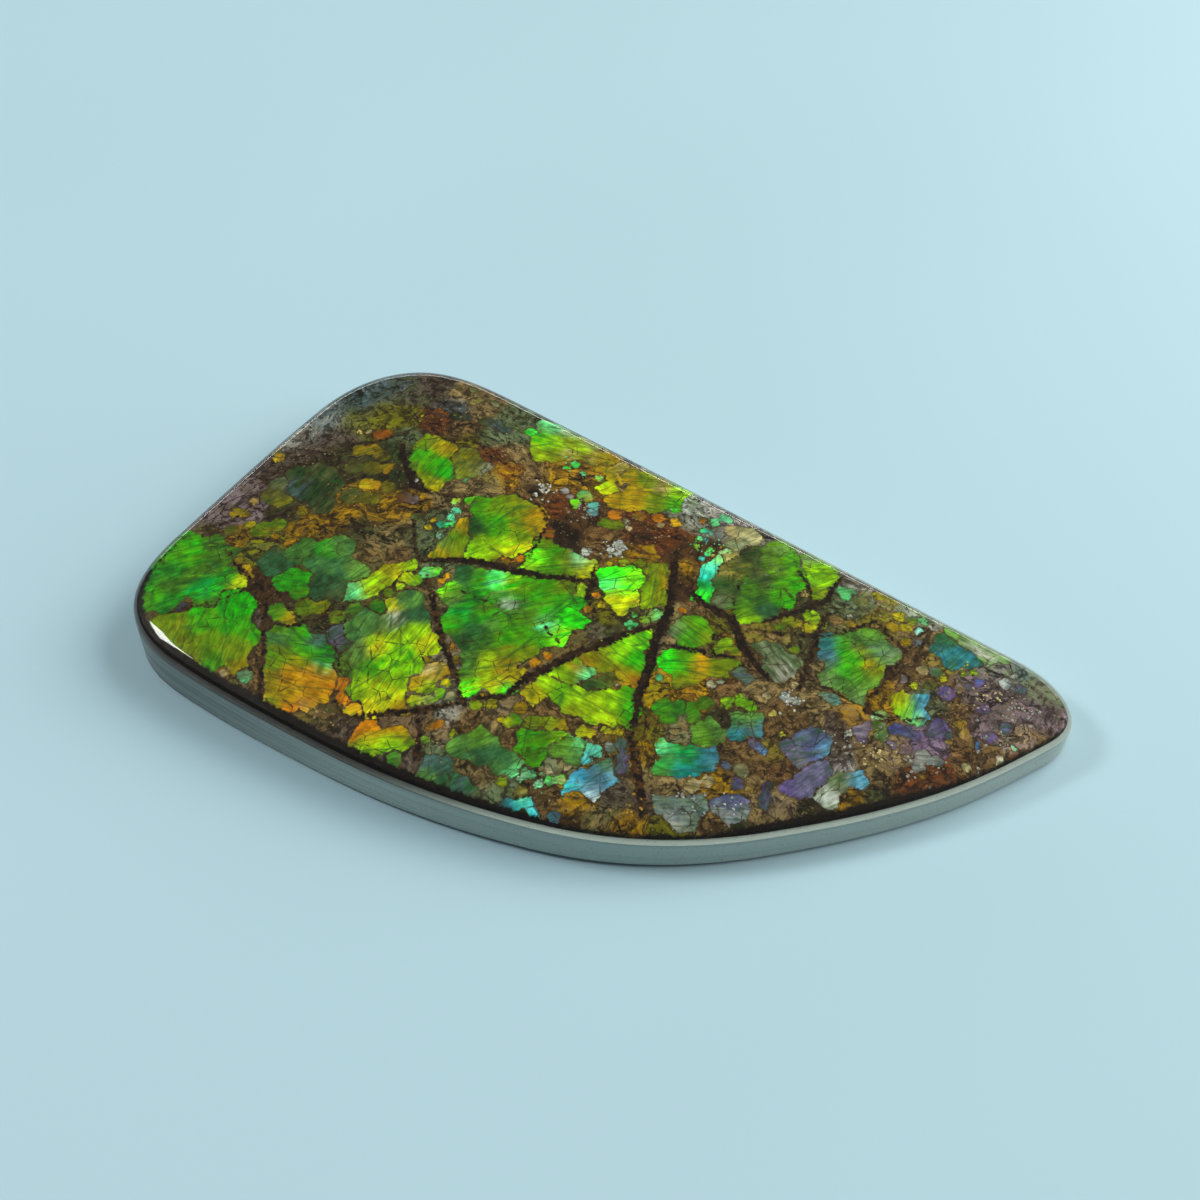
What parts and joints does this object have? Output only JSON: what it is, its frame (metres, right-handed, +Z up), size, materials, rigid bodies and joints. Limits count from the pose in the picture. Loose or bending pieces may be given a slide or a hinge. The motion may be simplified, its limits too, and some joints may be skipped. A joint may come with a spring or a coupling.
{
  "type": "ammolite specimen",
  "caption": "Polished free-form plate of iridescent ammonite nacre on grey shale under a clear domed cap, with a flat underside to rest on.",
  "frame": {"origin": "on the surface that the plate rests on, under the middle of its outline", "axes": "+X along the long straight side towards the narrow tip, +Y from the curved side to the long straight side, +Z up"},
  "size_m": [0.0532, 0.0302, 0.0053],
  "materials": {
    "clear_cap": "clear, polished to a high gloss",
    "nacre": "iridescent crushed nacre, mostly green, with dark brown veins",
    "shale": "laminated grey shale, side smooth, underside matt"
  },
  "bodies": {
    "root": {"clear_cap": "clear_cap", "ammolite_layer": "nacre", "shale_base": "shale"}
  },
  "joints": []
}
